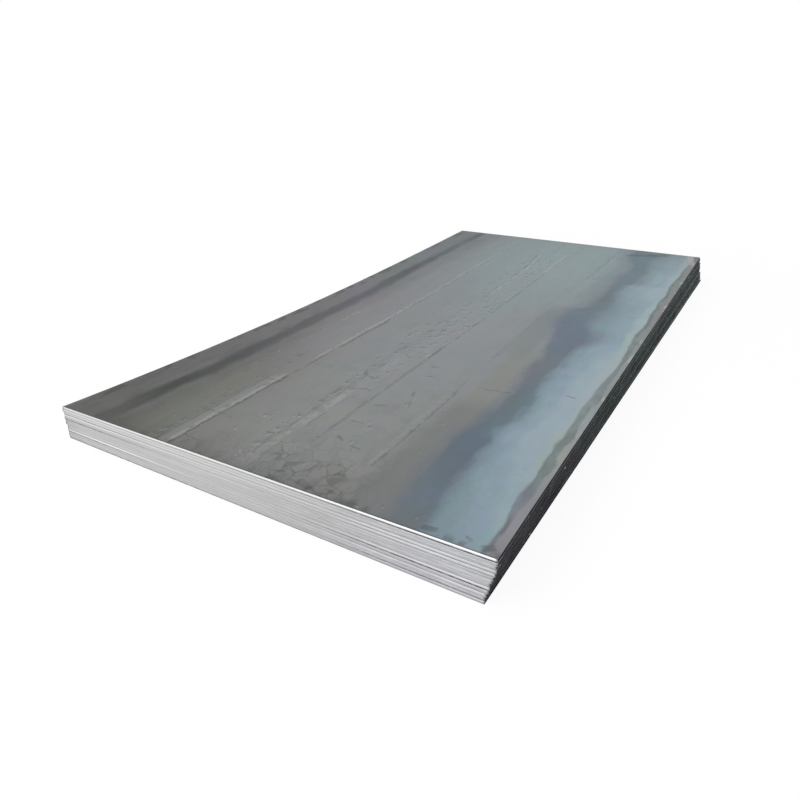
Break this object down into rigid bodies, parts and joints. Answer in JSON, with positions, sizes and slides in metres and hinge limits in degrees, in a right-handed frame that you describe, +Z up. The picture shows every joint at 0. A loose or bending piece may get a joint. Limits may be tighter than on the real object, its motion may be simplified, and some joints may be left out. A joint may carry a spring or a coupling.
{
  "type": "pack of hot-rolled steel sheets",
  "caption": "Flat pack of hot-rolled steel sheets with sheared ends and rounded mill edges, lying one on another.",
  "frame": {"origin": "on the floor under the middle of the pack", "axes": "+Z up, through the sheets; +Y along the sheets, towards the far sheared ends; +X across them, towards the straighter long side"},
  "size_m": [1.2984, 2.5218, 0.11],
  "materials": {
    "mill_scale_steel": "blue-grey rolling scale with heat tints, bright sheared ends"
  },
  "bodies": {
    "root": {"sheet_01": "mill_scale_steel", "sheet_02": "mill_scale_steel", "sheet_03": "mill_scale_steel", "sheet_04": "mill_scale_steel", "sheet_05": "mill_scale_steel", "sheet_06": "mill_scale_steel", "sheet_07": "mill_scale_steel", "sheet_08": "mill_scale_steel", "sheet_09": "mill_scale_steel", "sheet_10": "mill_scale_steel", "sheet_11": "mill_scale_steel", "sheet_12": "mill_scale_steel", "sheet_13": "mill_scale_steel"}
  },
  "joints": []
}
